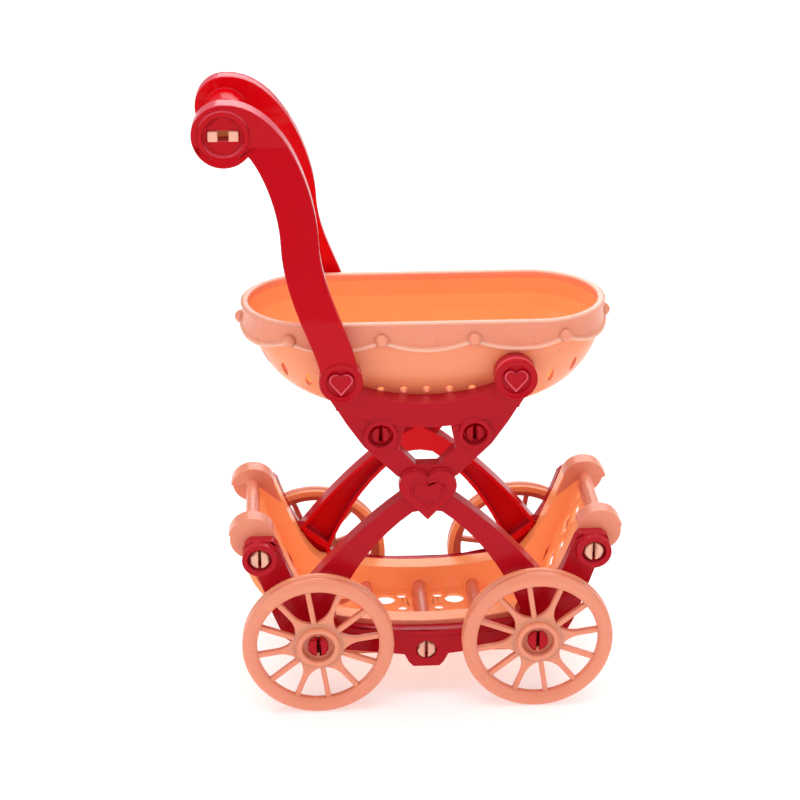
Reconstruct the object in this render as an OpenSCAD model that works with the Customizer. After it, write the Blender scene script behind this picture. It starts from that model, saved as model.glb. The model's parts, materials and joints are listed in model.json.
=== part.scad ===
// Doll stroller, a toy made of snap-together plastic mouldings.
// Two side frames carry four spoked wheels on stub axles, a slatted tray between their
// feet, a basket in their cradle curves, and a handle that tilts on the rear knobs.
// +X is the way it is pushed, +Y is its left, +Z is up.
// The origin is on the floor, under the middle of its whole length, handle included.
// The modules draw it about the middle of the basket, and placed() moves it there.

/* [Wheels] */
// Outer diameter of each wheel
wheel_d = 52; // [42:0.5:64]
// Width of a wheel across its rim
wheel_w = 6; // [5:0.25:8]
// Radial depth of the rim, from the tread in to the spoke ends
rim_depth = 5.1; // [3:0.1:7]
// Diameter of the hub barrel
hub_d = 14.4; // [13:0.1:18]
// Wall of the hub barrel around its recess
hub_wall = 1.6; // [1:0.1:2.4]
// Depth of the recess in the hub's outer end
hub_recess = 2.6; // [1.8:0.1:3.4]
// Thickness of a spoke
spoke_t = 1.8; // [1.2:0.1:2.6]
// Distance between the front and the rear axle pins
wheelbase = 75.5; // [62:0.5:92]

/* [Side frames] */
// Width over the outer faces of the two side frames
frame_w = 54; // [44:0.5:66]
// Depth of the legs and the upper arms, across the stroller
frame_depth = 6.5; // [5:0.1:8]
// Depth of the cradle curve that the basket sits on
cradle_depth = 9; // [8:0.1:11]
// Thickness of the outer web that closes each channel
frame_web = 2; // [1.2:0.1:2.6]
// Thickness of the lips along the channels
frame_lip = 1.3; // [0.8:0.1:1.8]
// Depth of the bottom rail, outside the tray
rail_depth = 4.2; // [3.4:0.1:5]
// Length of the collar that spaces a wheel from its side frame
collar_len = 3.6; // [2.5:0.1:5]
// Height of the crossing heart above the axles
heart_h = 56.7; // [50:0.5:64]
// Width of the heart plate over the crossing
heart_w = 19.5; // [16:0.5:22]
// Height of the heart plate, from its lobes to its tip
heart_tall = 17.8; // [15:0.5:20]
// Height of the cradle curve's lowest point above the axles
cradle_h = 86.2; // [80:0.5:94]
// Height of the knobs above the axles
knob_h = 95.7; // [92:0.5:104]
// Distance between the front and the rear knob
knob_spacing = 57.4; // [52:0.5:62]

/* [Basket] */
// Length over the rim of the basket
basket_l = 123.4; // [110:0.5:145]
// Height of the basket rim above the axles
rim_h = 114; // [110:0.5:120]
// Depth of the basket, from its rim to its underside
basket_deep = 37; // [34:0.5:40]
// Thickness of the basket's wall
basket_wall = 1.6; // [1:0.1:2.2]
// Height of the band around the rim
band_h = 8.5; // [6:0.1:10]
// Diameter of the beads on the band
bead_d = 5; // [4:0.1:6]

/* [Tray] */
// Height of the tray's rim above the axles, at mid length
tray_rim_h = 1.5; // [0:0.1:4]
// Depth of the tray, from its rim to its floor
tray_deep = 9.7; // [8:0.1:12]
// Thickness of the tray's walls and floor
tray_wall = 1.5; // [1:0.1:2]
// Width of the hollow rim along each side of the tray
tray_rim_w = 6.7; // [5:0.1:8]
// Height of the hollow rim's inner face
tray_face = 7.3; // [6:0.1:8.5]
// Radius of the scroll at each end of the tray's sides
scroll_r = 8.1; // [7:0.1:9]
// Diameter of the bar between the scrolls
cross_bar_d = 4.2; // [3:0.1:5]
// Distance between the slats on the tray floor
slat_pitch = 19.5; // [16:0.5:22]
// Width of a slat
slat_w = 4.8; // [3:0.1:6]

/* [Handle] */
// Height of the grip bar above the axles
grip_h = 176.5; // [160:0.5:200]
// Distance of the grip bar behind the middle of the stroller
grip_back = 64.5; // [56:0.5:74]
// Width over the tops of the two arms
grip_w = 41; // [34:0.5:46]
// Width of an arm, seen from the side
arm_w = 12.2; // [10:0.1:14]
// Thickness of an arm at its top
arm_top_t = 7; // [5:0.1:9]
// Diameter of the round head at the top of an arm
arm_head_d = 20.4; // [18:0.1:23]
// Diameter of the bar inside the grip
grip_d = 10.4; // [10.3:0.1:12]

/* [Snap pins] */
// Diameter of the stub axles
axle_d = 6.2; // [4.5:0.1:7.5]
// Diameter of the shaft of a snap pin
pin_d = 5.6; // [4:0.1:6.8]
// How far a snap pin's lip stands out from its shaft
pin_lip = 0.4; // [0.2:0.05:0.6]
// Width of the slot that splits a pin
slot_w = 1; // [0.6:0.1:1.4]
// Diameter of the handle's pivot pegs
peg_d = 5.2; // [4:0.1:6.5]
// Diameter of the round knobs at the ends of the cradle curve
knob_d = 14; // [12:0.1:16]

/* [Hidden] */
$fn = 64;

PEACH = "#f9a88a";
CRIMSON = "#c0122b";

// Clearances
run_fit = 0.05;      // radial, between a pin and the bore it turns or sits in
side_gap = 0.2;      // axial, beside a turning wheel or arm
seat_gap = 0.1;      // between mouldings that seat in each other
through = 1;         // how far a cutting solid runs past the face it cuts

// Main lines of the stroller
axle_z = wheel_d / 2;
axle_x = wheelbase / 2;
frame_y = frame_w / 2;
tray_y = frame_y - rail_depth - seat_gap;
knob_x = knob_spacing / 2;
knob_z = axle_z + knob_h;
heart_z = axle_z + heart_h;
cradle_z = axle_z + cradle_h;

// Basket
rim_z = axle_z + rim_h;
rim_x = basket_l / 2;
rim_inset = 1.8;
rim_y = frame_y - rim_inset;
bead_count = 10;
bead_drop = 6;
bead_proud = 1.3;
// Each level of the bowl: share of the depth below the rim, inset of the rear end and of
// the front end, inset of the width, and the tilt of the wall from upright to flat
bowl_levels = [
    [0, 1.4, 1.4, 1.2, 0],
    [0.18, 3, 1.8, 1.3, 3],
    [0.26, 4, 2.2, 1.5, 8],
    [0.38, 5.2, 2.8, 1.9, 20],
    [0.5, 7.4, 4.8, 2.8, 30],
    [0.6, 9.8, 7, 3.9, 40],
    [0.72, 13.8, 10.8, 5.8, 45],
    [0.82, 19, 15.8, 8.2, 52],
    [0.92, 27, 23, 11.6, 65],
    [0.98, 35, 31, 15.5, 80],
    [1, 40, 37, 18.6, 90]
];
bowl_arc_steps = 12;

// Cross braces under the basket
brace_x = 15.7;
brace_z = axle_z + 75;
pin_well_d = pin_d + 2.6;
brace_ring_d = pin_well_d + 2.8;
brace_collar = 1.2;
pin_head = 1.6;
brace_ring_proud = 1;
brace_bar_d = 2 * (rim_z - basket_deep - brace_z);
clip_y = 10;
clip_len = 5;
clip_wall = 1.5;

// Side frames
collar_d = axle_d + 4;
wheel_in = frame_y + collar_len + side_gap;
hub_proud = 0.4;
axle_head = 2;
heart_proud = 2;
relief = 0.5;
heart_line_w = 0.9;
rail_lip_tall = 2.2;
fork_step = 0.7;      // how far the fork's face stands behind the cradle curve's
brace_well_deep = 3.2;
tray_well_deep = 2.6;

// Snap pins of the tray
tray_pin_x = axle_x + 19.25;
tray_pin_z = axle_z + 30.5;
tray_ring_d = pin_well_d + 3.8;
tray_ring_proud = 3;
tab_pin_z = axle_z - 7.8;
tab_well_d = pin_d + 1.6;
tab_well_deep = 1.6;

// Tray outline, seen from the side
tray_rim_z = axle_z + tray_rim_h;
tray_floor_z = tray_rim_z - tray_deep;
tray_sweep_x = axle_x - 1.75;
scroll_x = axle_x + 21.85;
scroll_z = axle_z + 34.8;
scroll_join = [axle_x + 14.25, axle_z + 37.4];
cross_bar_x = scroll_x + 0.1;
cross_bar_z = scroll_z + 2.1;
tray_end_x = axle_x + 5;
tray_in = tray_y - tray_rim_w;
tray_skirt = 1.5;
cap_drop = 1.9;
scroll_rise = 0.2;
scroll_step = 0.6;
slat_tall = 4.7;
floor_hole_d = 7;
floor_dot_d = 3.6;
lattice_across = 3;
lattice_along = 3;
lattice_bar = 2;
lattice_border = 2.4;
lattice_foot = 1;
lattice_head = 1.5;
hole_columns = [12.6, 27.4, 38];
hole_row = 10.4;
dot_columns = [6.6, 33];
dot_row = 8.7;

// Handle
grip_z = axle_z + grip_h;
arm_in = frame_y + side_gap;
arm_t = 3.2;
arm_out = arm_in + arm_t;
arm_bend_low = rim_z + 3;
arm_bend_high = grip_z - 4;
head_ring_d = 16.5;
head_ring_wall = 1.6;
head_ring_proud = 0.6;
head_recess = 1.5;
window_w = 9.8;
window_h = 3.4;
tongue_gap = 3.4;
sleeve_wall = 1.25;
peg_lip_y = rim_y - 0.9;
peg_tip_y = rim_y - 2;
knob_ring_w = 1.1;
knob_heart_w = 7.8;
knob_heart_tall = 7.6;

// Wheels
spoke_pairs = 6;
spoke_w = 2.2;
spoke_in = 2.6;
rim_wall = 2;
skirt_d = hub_d + 3.6;
flare = [[0, 2.6], [1.6, 1.4], [3.4, 0.5], [5.6, 0]];
tread_groove = 0.6;

// ---------------------------------------------------------------- helpers

function unit(v) = v / norm(v);
function bezier(a, c, b, n) =
    [for (i = [0:n]) let (t = i / n) (1 - t) * (1 - t) * a + 2 * t * (1 - t) * c + t * t * b];
function cubic(a, c, d, b, n) =
    [for (i = [0:n]) let (t = i / n, s = 1 - t)
        s * s * s * a + 3 * s * s * t * c + 3 * s * t * t * d + t * t * t * b];
function arc(centre, r, from, to, n) =
    [for (i = [0:n]) let (a = from + (to - from) * i / n) centre + r * [cos(a), sin(a)]];
function turned_over(pts) = [for (i = [len(pts) - 1:-1:0]) pts[i]];
function across(pts) = [for (p = turned_over(pts)) [-p[0], p[1]]];
function left_of(a, b) = let (d = unit(b - a)) [-d[1], d[0]];
// A closed outline moved inwards by d, its points listed counter-clockwise
function inset(pts, d) =
    [for (i = [0:len(pts) - 1])
        let (n = len(pts), before = pts[(i + n - 1) % n], after = pts[(i + 1) % n],
             na = left_of(before, pts[i]), nb = left_of(pts[i], after), m = unit(na + nb))
        pts[i] + m * d / max(0.5, m * na)];
// An open path moved to its left by d
function beside(pts, d) =
    [for (i = [0:len(pts) - 1])
        let (last = len(pts) - 1, a = pts[max(i - 1, 0)], b = pts[min(i + 1, last)])
        pts[i] + d * left_of(a, b)];

// An XZ outline given depth, its outer face at -Y = y_out
module plate(y_out, depth) {
    translate([0, depth - y_out, 0])
        rotate([90, 0, 0])
            linear_extrude(depth)
                children();
}

// A round bar along Y on the right-hand side, from y_in out to y_out
module bar(x, z, y_in, y_out, d) {
    translate([x, -y_in, z])
        rotate([90, 0, 0])
            cylinder(d = d, h = y_out - y_in);
}

// A split snap pin: shaft from y_in, lip from just past y_web out to y_tip
module snap_pin(x, z, y_in, y_web, y_tip, d, gap = run_fit) {
    difference() {
        union() {
            bar(x, z, y_in, y_tip, d);
            bar(x, z, y_web + gap, y_tip, d + 2 * pin_lip);
        }
        translate([x - slot_w / 2, -y_tip - through, z - d])
            cube([slot_w, y_tip - y_web + d / 2 + through, 2 * d]);
    }
}

module both_ends() {
    children();
    mirror([1, 0, 0])
        children();
}

module both_sides() {
    children();
    mirror([0, 1, 0])
        children();
}

// A heart, its origin between its lobes
module heart(w, tall) {
    lobe = 0.27 * w;
    off = w / 2 - lobe;
    tip = tall - lobe;
    reach = norm([off, tip]);
    lean = atan2(tip, off) - asin(lobe / reach);
    side = sqrt(reach * reach - lobe * lobe) * [cos(lean), sin(lean)] - [0, tip];
    for (s = [-1, 1])
        translate([s * off, 0])
            circle(r = lobe, $fn = 40);
    polygon([[0, -tip], side, [off, 0], [0, lobe / 2], [-off, 0], [-side[0], side[1]]]);
}

module heart_line(w, tall, line) {
    difference() {
        heart(w, tall);
        translate([0, 0.1 * line])
            heart(w - 2 * line, tall - 2.4 * line);
    }
}

// ---------------------------------------------------------------- basket

function stadium(half_l, half_w, z) =
    [for (end = [0, 1], i = [0:bowl_arc_steps])
        let (a = -90 + 180 * end + 180 * i / bowl_arc_steps, s = 1 - 2 * end)
        [s * (half_l - half_w) + half_w * cos(a), half_w * sin(a), z]];

module loft(rings) {
    n = len(rings[0]);
    top = len(rings) - 1;
    polyhedron(
        points = [for (r = rings) each r],
        faces = concat(
            [[for (i = [0:n - 1]) i]],
            [[for (i = [n - 1:-1:0]) top * n + i]],
            [for (k = [0:top - 1], i = [0:n - 1]) let (j = (i + 1) % n)
                [k * n + i, (k + 1) * n + i, (k + 1) * n + j, k * n + j]]
        )
    );
}

function bowl_z(level) = rim_z - level[0] * basket_deep;
function bowl_ring(level, tuck) =
    let (half_l = rim_x - (level[1] + level[2]) / 2 - tuck * cos(level[4]),
         half_w = rim_y - level[3] - tuck * cos(level[4]),
         shift = [(level[1] - level[2]) / 2, 0, 0])
    [for (p = stadium(half_l, half_w, bowl_z(level) + tuck * sin(level[4]))) p + shift];
bowl_rings = [for (level = turned_over(bowl_levels)) bowl_ring(level, 0)];
hollow_rings = [for (level = turned_over(bowl_levels)) bowl_ring(level, basket_wall)];

// The bowl's cross-section, as a half outline in Y and Z
function bowl_section(gap) = concat(
    [for (level = bowl_levels) [rim_y - level[3] + gap, bowl_z(level) - gap]],
    [[0, rim_z - basket_deep - gap], [0, rim_z]]
);

module stadium_plan(half_l, half_w) {
    for (s = [-1, 1])
        translate([s * (half_l - half_w), 0])
            circle(r = half_w);
    square([2 * (half_l - half_w), 2 * half_w], center = true);
}

// A point on the rim's outline, s along it from the middle of the right-hand side
function on_rim(s) =
    let (straight = rim_x - rim_y, turn = (s - straight) / rim_y * 180 / PI)
    s <= straight ? [s, -rim_y] : [straight + rim_y * sin(turn), -rim_y * cos(turn)];

module basket_beads() {
    perimeter = 4 * (rim_x - rim_y) + 2 * PI * rim_y;
    pitch = perimeter / bead_count;
    for (k = [0:2]) {
        at = on_rim(pitch * (k + 0.5));
        both_sides()
            both_ends()
                translate([at[0], at[1], rim_z - bead_drop])
                    translate((bead_d / 2 - bead_proud) * unit([min(0, rim_x - rim_y - at[0]), -at[1], 0]))
                        sphere(d = bead_d, $fn = 32);
    }
}

// Spring clip that grips a cross brace, its mouth downwards
module brace_clip() {
    outer_d = brace_bar_d + 2 * clip_wall;
    mouth = 0.7 * brace_bar_d;
    difference() {
        bar(brace_x, brace_z, clip_y - clip_len / 2, clip_y + clip_len / 2, outer_d);
        bar(brace_x, brace_z, 0, clip_y + clip_len, brace_bar_d + 2 * run_fit);
        translate([brace_x - mouth / 2, -clip_y - clip_len, brace_z - outer_d])
            cube([mouth, 2 * clip_len, outer_d]);
    }
}

module basket() {
    color(PEACH) {
        difference() {
            union() {
                loft(bowl_rings);
                translate([0, 0, rim_z - band_h])
                    linear_extrude(band_h)
                        stadium_plan(rim_x, rim_y);
                basket_beads();
            }
            loft(hollow_rings);
        }
        both_sides()
            both_ends()
                brace_clip();
    }
}

// ---------------------------------------------------------------- side frames

leg_steps = 8;
// Upper edge of the front leg, from the heart down to the notch at the strut
leg_top = bezier([heart_w / 2 - 1, heart_z - 5],
                 [axle_x / 2 + 9, (heart_z + axle_z) / 2 + 8.5],
                 [axle_x + 5.25, axle_z + 16.5], leg_steps);
// Lower edge of the front leg, from the crotch down to the rail
leg_under = bezier([5, heart_z - 10.6],
                   [axle_x / 2 + 3.4, (heart_z + axle_z) / 2 + 5],
                   [axle_x - 5.3, axle_z + 8], leg_steps);
strut_in = [
    [axle_x + 9.05, axle_z + 23.2],
    [axle_x + 12.25, axle_z + 32.4],
    [axle_x + 13.1, axle_z + 34.8],
    [axle_x + 14.6, axle_z + 36.5]
];
strut_out = [
    [tray_pin_x + tray_ring_d / 2 - 3.2, tray_pin_z + 6],
    [tray_pin_x + tray_ring_d / 2 - 1, tray_pin_z + 4.4],
    [tray_pin_x + tray_ring_d / 2, tray_pin_z],
    [axle_x + 20.5, axle_z + 24],
    [axle_x + 18.3, axle_z + 17.2],
    [axle_x + 15.4, axle_z + 8],
    [axle_x + 13.25, axle_z + 2.5],
    [axle_x + 11, axle_z - 2],
    [axle_x + 7.25, axle_z - 4.6]
];
rail_under = [
    [axle_x + 1.5, axle_z - 6.5],
    [axle_x - 8.25, axle_z - 6.8],
    [axle_x / 2 - 1, axle_z - 8.2],
    [tab_well_d / 2 + 6, axle_z - 9.3],
    [tab_well_d / 2 + 4.1, axle_z - 9.5]
];
tab_edge = [
    [tab_well_d / 2 + 2.6, axle_z - 12.6],
    [tab_well_d / 2 + 1, axle_z - 14.4]
];
function rail_top(x) = axle_z + 0.2 + 2.2 * pow(x / (axle_x - 7.75), 2);
rail_top_edge = [for (k = [0:4]) let (x = (axle_x - 7.75) * (1 - k / 4)) [x, rail_top(x)]];

foot_half = concat([[0, heart_z]], leg_top, strut_in, strut_out, rail_under, tab_edge);
window_half = concat([[0, heart_z - 9.8]], leg_under, rail_top_edge);

fork_out = [
    [heart_w / 2 + 0.2, heart_z + 2.5],
    [brace_x, brace_z - 10],
    [brace_x + 5.7, brace_z - 4.3],
    [knob_x - 1.7, brace_z + 4],
    [knob_x + 1.8, cradle_z - 1.2]
];
fork_gap = [
    [7.2, cradle_z - 6],
    [9.4, heart_z + 12.8],
    [3.6, heart_z + 6.5]
];

cradle_low_r = 71;
cradle_top_r = 52.8;
cradle_tall = 8.6;
// Underside of the cradle curve above the braces
cradle_under = cradle_z - cradle_tall + cradle_low_r - sqrt(cradle_low_r * cradle_low_r - brace_x * brace_x);

module cradle_outline() {
    difference() {
        intersection() {
            translate([0, cradle_z - cradle_tall + cradle_low_r])
                circle(r = cradle_low_r, $fn = 160);
            polygon([
                [-knob_x - 1.8, cradle_z - cradle_tall - through],
                [knob_x + 1.8, cradle_z - cradle_tall - through],
                [knob_x + 1.8, cradle_z - 1.2],
                [knob_x + knob_d / 2 - 0.6, knob_z - 3],
                [-knob_x - knob_d / 2 + 0.6, knob_z - 3],
                [-knob_x - 1.8, cradle_z - 1.2]
            ]);
        }
        translate([0, cradle_z + cradle_top_r])
            circle(r = cradle_top_r, $fn = 160);
    }
}

module fork_outline() {
    polygon(concat(fork_out, [[knob_x - 4, cradle_z]], across(concat(fork_out, [[knob_x - 4, cradle_z]]))));
}

// Everything below the tray's rim, which the tray's sides pass through
module tray_room() {
    grown = beside(concat(tray_top_half, scroll_arc), 3 * seat_gap);
    polygon(concat([[0, tray_rim_z + 3 * seat_gap]], grown, [[scroll_x + 2 * scroll_r, 0], [0, 0]]));
}

module leg_pocket() {
    leg = concat(turned_over([for (i = [1:leg_steps]) leg_top[i]]), [for (i = [1:leg_steps]) leg_under[i]]);
    polygon(inset(leg, frame_lip));
}

module strut_pocket() {
    strut = [
        leg_top[leg_steps],
        leg_under[leg_steps],
        [axle_x - 6, axle_z - 5.5],
        [axle_x + 6.5, axle_z - 4],
        strut_out[6],
        strut_out[4],
        [axle_x + 17.5, axle_z + 25],
        strut_in[0]
    ];
    polygon(inset(strut, frame_lip));
}

module rail_pocket() {
    rail = [
        [tab_well_d / 2 + 3, axle_z - 9.2],
        [axle_x / 2 - 1, axle_z - 8.2],
        [axle_x - 7, axle_z - 6.8],
        [axle_x - 7, rail_top(axle_x - 7)],
        [axle_x / 2, rail_top(axle_x / 2)],
        [tab_well_d / 2 + 3, rail_top(5)]
    ];
    polygon(inset(rail, frame_lip));
}

module fork_pocket() {
    fork = [
        fork_out[1], fork_out[2], fork_out[3],
        [knob_x - 2, cradle_z - 5.2],
        [fork_gap[0][0] + 2, cradle_z - 8],
        fork_gap[1] + [0.6, 0],
        [heart_w / 2 - 2, heart_z + 6]
    ];
    polygon(inset(fork, frame_lip));
}

module cradle_pocket() {
    intersection() {
        difference() {
            translate([0, cradle_z - cradle_tall + cradle_low_r])
                circle(r = cradle_low_r - frame_lip, $fn = 160);
            translate([0, cradle_z + cradle_top_r])
                circle(r = cradle_top_r + frame_lip, $fn = 160);
        }
        polygon([
            [-knob_x + 4, cradle_z - cradle_tall],
            [knob_x - 4, cradle_z - cradle_tall],
            [knob_x - 4, knob_z],
            [-knob_x + 4, knob_z]
        ]);
    }
}

module frame_mouldings() {
    plate(frame_y, frame_depth)
        difference() {
            polygon(concat(foot_half, across(foot_half)));
            polygon(concat(window_half, across(window_half)));
        }
    plate(frame_y - fork_step, frame_depth - fork_step)
        difference() {
            fork_outline();
            polygon(concat(fork_gap, across(fork_gap)));
        }
    plate(frame_y, cradle_depth)
        cradle_outline();
    both_ends()
        bar(knob_x, knob_z, frame_y - cradle_depth, frame_y, knob_d);
}

module frame_pockets() {
    pocket_y = frame_y - frame_web;
    plate(pocket_y, frame_depth)
        both_ends() {
            leg_pocket();
            strut_pocket();
            rail_pocket();
            fork_pocket();
        }
    plate(pocket_y, cradle_depth)
        cradle_pocket();
}

module frame_bosses() {
    inner = frame_y - frame_depth;
    rail_in = tray_y + seat_gap;
    both_ends() {
        bar(brace_x, brace_z, inner, frame_y + brace_ring_proud, brace_ring_d);
        bar(tray_pin_x, tray_pin_z, rail_in, frame_y + tray_ring_proud, tray_ring_d);
        bar(axle_x, axle_z, rail_in, frame_y + collar_len, collar_d);
    }
    bar(0, tab_pin_z, rail_in, frame_y, tab_well_d + 2 * frame_lip);
}

module pin_seat(x, z, face, well_d, well_deep) {
    bar(x, z, 0, face + through, pin_d + 2 * run_fit);
    bar(x, z, face - well_deep, face + through, well_d);
}

module side_frame_shape() {
    hub_floor = wheel_in + wheel_w + hub_proud - hub_recess;
    difference() {
        union() {
            difference() {
                frame_mouldings();
                frame_pockets();
                plate(tray_y + seat_gap, frame_depth)
                    both_ends()
                        tray_room();
            }
            frame_bosses();
            plate(frame_y + heart_proud, frame_web + heart_proud)
                translate([0, heart_z])
                    heart(heart_w, heart_tall);
            plate(frame_y + heart_proud + relief, relief + seat_gap)
                translate([0, heart_z - 0.8])
                    heart_line(0.6 * heart_w, 0.58 * heart_tall, heart_line_w);
            plate(frame_y + relief, relief + seat_gap)
                rail_lip();
        }
        both_ends() {
            pin_seat(brace_x, brace_z, frame_y + brace_ring_proud, pin_well_d, brace_well_deep);
            pin_seat(tray_pin_x, tray_pin_z, frame_y + tray_ring_proud, pin_well_d, tray_well_deep);
            bar(knob_x, knob_z, 0, frame_y + through, peg_d + 2 * run_fit);
            bar(knob_x, knob_z, 0, peg_lip_y, peg_d + 2 * pin_lip + 2 * run_fit);
        }
        pin_seat(0, tab_pin_z, frame_y, tab_well_d, tab_well_deep);
        translate([-2 * rim_x, 0, 0])
            rotate([90, 0, 90])
                linear_extrude(4 * rim_x)
                    mirror([1, 0])
                        polygon(bowl_section(seat_gap));
    }
    both_ends()
        snap_pin(axle_x, axle_z, frame_y + collar_len - through, hub_floor, hub_floor + axle_head,
                 axle_d, side_gap);
}

module rail_lip() {
    span = [for (k = [-4:4]) let (x = k / 4 * (axle_x - 8)) [x, rail_top(x)]];
    polygon(concat(span, [for (p = turned_over(span)) p - [0, rail_lip_tall]]));
}

// ---------------------------------------------------------------- cross braces

module cross_brace(s) {
    inner = frame_y - frame_depth;
    web = frame_y + brace_ring_proud - brace_well_deep;
    collar_r = min(pin_d / 2 + brace_collar, cradle_under - brace_z - seat_gap);
    color(CRIMSON)
        both_sides() {
            bar(s * brace_x, brace_z, 0, inner, brace_bar_d);
            bar(s * brace_x, brace_z, inner - brace_collar, inner - seat_gap, 2 * collar_r);
            snap_pin(s * brace_x, brace_z, inner - through, web, web + pin_head, pin_d);
        }
}

// ---------------------------------------------------------------- tray

tray_rise = 4.1;
// The side's top edge from mid length up to the scroll
tray_top_half = concat(
    [for (k = [1:5]) let (x = tray_sweep_x * k / 5) [x, tray_rim_z + tray_rise * pow(x / tray_sweep_x, 2)]],
    [for (i = [1:6]) bezier([tray_sweep_x, tray_rim_z + tray_rise],
        [tray_sweep_x + 6, tray_rim_z + tray_rise + 3.4], scroll_join, 6)[i]]
);
scroll_arc = arc([scroll_x, scroll_z], scroll_r, 150, -70, 14);
cap_arc = arc([scroll_x, scroll_z], scroll_r, 150, asin(cap_drop / scroll_r), 10);
rim_half = concat([[0, tray_rim_z]], tray_top_half, cap_arc);
rim_path = concat(across(concat(tray_top_half, cap_arc)), rim_half);
tray_bottom = tray_floor_z - tray_wall - tray_skirt;

// Outline of one end of a side wall, with its bottom edge at the height given
module wall_outline(bottom) {
    under = beside(rim_half, -tray_face);
    polygon(concat(
        rim_half,
        [[scroll_x, scroll_z + cap_drop]],
        [for (i = [11:-1:7]) under[i]],
        [[tray_end_x + 0.9, tray_floor_z + 3], [tray_end_x, bottom], [0, bottom]]
    ));
}

module tray_side() {
    plate(tray_y, tray_wall)
        both_ends() {
            wall_outline(tray_bottom);
            translate([scroll_x, scroll_z + scroll_rise])
                circle(r = scroll_r - scroll_step);
        }
    plate(tray_in + tray_wall, tray_wall)
        both_ends()
            wall_outline(tray_floor_z - tray_wall);
    plate(tray_y, tray_rim_w)
        polygon(concat(rim_path, turned_over(beside(rim_path, -tray_wall))));
}

module tray_pins() {
    both_ends()
        snap_pin(tray_pin_x, tray_pin_z, tray_y - tray_wall / 2,
                 frame_y + tray_ring_proud - tray_well_deep, frame_y + tray_ring_proud - 0.7, pin_d);
    snap_pin(0, tab_pin_z, tray_y - tray_wall / 2,
             frame_y - tab_well_deep, frame_y - 0.1, pin_d);
}

module tray_floor() {
    difference() {
        translate([-tray_end_x, -tray_in - through / 2, tray_floor_z - tray_wall])
            cube([2 * tray_end_x, 2 * tray_in + through, tray_wall]);
        for (column = hole_columns)
            for (y = [-1:1])
                both_ends()
                    floor_hole(column, hole_row * y, floor_hole_d);
        for (column = dot_columns)
            for (y = [-1.5:1.5])
                both_ends()
                    floor_hole(column, dot_row * y, floor_dot_d);
    }
    for (k = [-1:1])
        translate([k * slat_pitch, 0, tray_floor_z]) {
            translate([-slat_w / 2, -tray_in - through / 2, -tray_wall / 2])
                cube([slat_w, 2 * tray_in + through, slat_tall + (tray_wall - slat_w) / 2]);
            translate([0, tray_in + through / 2, slat_tall - slat_w / 2])
                rotate([90, 0, 0])
                    cylinder(d = slat_w, h = 2 * tray_in + through);
        }
}

module floor_hole(x, y, d) {
    translate([x, y, tray_floor_z - 2 * tray_wall])
        cylinder(d = d, h = 3 * tray_wall, $fn = 32);
}

// Lattice panel across one end of the tray, leaning out to the bar between the scrolls
module tray_end() {
    foot = [tray_end_x, tray_floor_z - tray_wall];
    run = [cross_bar_x, cross_bar_z] - foot;
    tall = norm(run);
    wide = 2 * tray_in;
    pitch_y = (wide - 2 * lattice_border + lattice_bar) / lattice_across;
    pitch_l = (tall - 2 * lattice_border - cross_bar_d / 2 + lattice_bar) / lattice_along;
    cell_y = pitch_y / 2 - 0.66 * lattice_bar;
    cell_l = pitch_l / 2 - lattice_bar;
    translate([foot[0], 0, foot[1]])
        rotate([0, atan2(run[0], run[1]), 0])
            rotate([90, 0, -90])
                linear_extrude(tray_wall)
                    difference() {
                        translate([-tray_in - through / 2, 0])
                            square([wide + through, tall]);
                        intersection() {
                            translate([-tray_in + lattice_border, lattice_border + lattice_foot])
                                square([wide - 2 * lattice_border,
                                        tall - 2 * lattice_border - lattice_foot - lattice_head]);
                            for (i = [-lattice_across:lattice_across], j = [0:2 * lattice_along])
                                if ((i + j) % 2 == 0)
                                    translate([i * pitch_y / 2, lattice_border + j * pitch_l / 2])
                                        polygon([[cell_y, 0], [0, cell_l], [-cell_y, 0], [0, -cell_l]]);
                        }
                    }
    translate([cross_bar_x, tray_in + through / 2, cross_bar_z])
        rotate([90, 0, 0])
            cylinder(d = cross_bar_d, h = wide + through);
}

module tray() {
    color(PEACH) {
        both_sides() {
            tray_side();
            tray_pins();
        }
        tray_floor();
        both_ends()
            tray_end();
    }
}

// ---------------------------------------------------------------- knobs and handle

// Raised ring and heart on the face of a round knob
module knob_relief(x, z, face) {
    plate(face + relief, relief + seat_gap)
        translate([x, z]) {
            difference() {
                circle(d = knob_d - 0.4);
                circle(d = knob_d - 0.4 - 2 * knob_ring_w);
            }
            translate([0, 1])
                heart(knob_heart_w, knob_heart_tall);
        }
}

// Split peg that runs inwards through the knob bore of a side frame
module pivot_peg(x, z) {
    difference() {
        union() {
            bar(x, z, peg_tip_y, arm_in + through, peg_d);
            bar(x, z, peg_tip_y, peg_lip_y - run_fit, peg_d + 2 * pin_lip);
        }
        translate([x - slot_w / 2, -peg_lip_y - through, z - peg_d])
            cube([slot_w, 4, 2 * peg_d]);
    }
}

module heart_knob_shape() {
    bar(knob_x, knob_z, frame_y, arm_out, knob_d);
    knob_relief(knob_x, knob_z, arm_out);
    pivot_peg(knob_x, knob_z);
}

grip = [-grip_back, grip_z];
pivot = [-knob_x, knob_z];
arm_mid = [-(knob_x + 12.5), (knob_z + grip_z) / 2 + 5.9];
arm_top = arm_mid + [-0.3, 15];
arm_end = grip + [0, (arm_head_d - arm_w) / 2];
arm_steps = 18;
arm_path = concat(
    cubic(pivot, pivot + [-1.5, 15], arm_mid + [0.6, -18], arm_mid, arm_steps),
    [for (i = [1:arm_steps]) cubic(arm_mid, arm_top, arm_end + [13.5, 0.8], arm_end, arm_steps)[i]]
);

module arm_outline() {
    polygon(concat(beside(arm_path, arm_w / 2), turned_over(beside(arm_path, -arm_w / 2))));
    translate(grip)
        circle(d = arm_head_d);
    translate(pivot)
        circle(d = knob_d + 0.4);
}

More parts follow.
